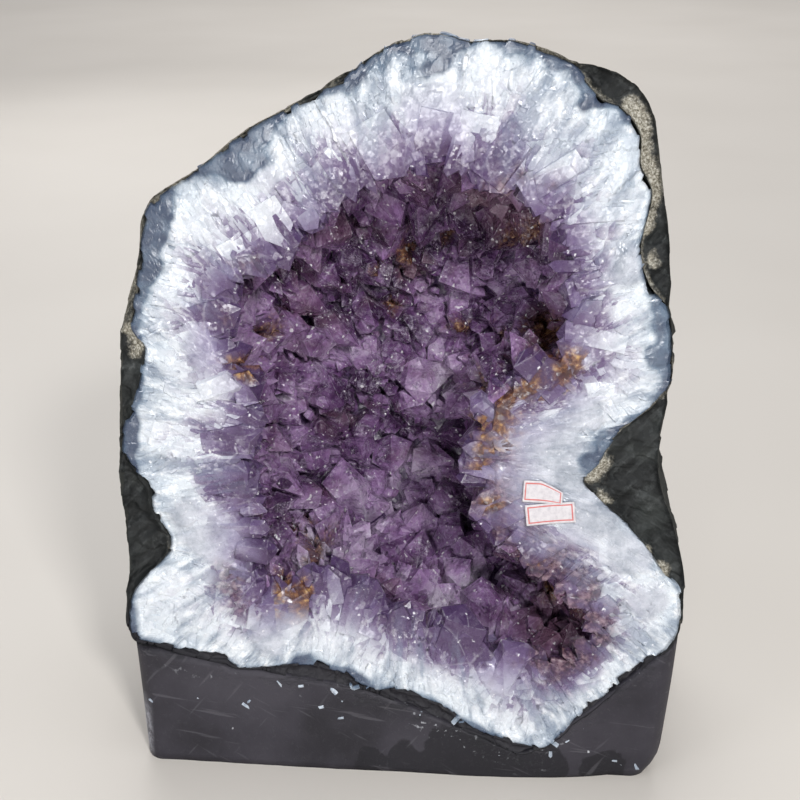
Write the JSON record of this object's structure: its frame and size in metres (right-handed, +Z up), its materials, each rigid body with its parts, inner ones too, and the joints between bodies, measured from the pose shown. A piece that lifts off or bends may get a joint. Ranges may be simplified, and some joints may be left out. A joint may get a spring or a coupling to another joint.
{
  "type": "amethyst geode half",
  "caption": "Upright geode half with a crystal-lined hollow in its cut face, standing on a dark cast foot.",
  "frame": {"origin": "middle of the bounding box, on the surface that the foot stands on", "axes": "+Z up; -Y out of the cut face, which leans back 7 degrees; +X to the right as one looks at the cut face"},
  "size_m": [0.2456, 0.165, 0.3199],
  "materials": {
    "cement": "dark cast cement, smooth with fine scratches",
    "rock": "rough dark basalt",
    "quartz": "cut and broken white quartz, grey-blue at its outer edge",
    "amethyst": "glossy purple crystal faces",
    "paper": "matt white paper with a thin red frame"
  },
  "bodies": {
    "root": {"cement_foot": "cement", "basalt_rind": "rock", "quartz_band": "quartz", "amethyst_crust": "amethyst", "price_tag_upper": "paper", "price_tag_lower": "paper"}
  },
  "joints": []
}
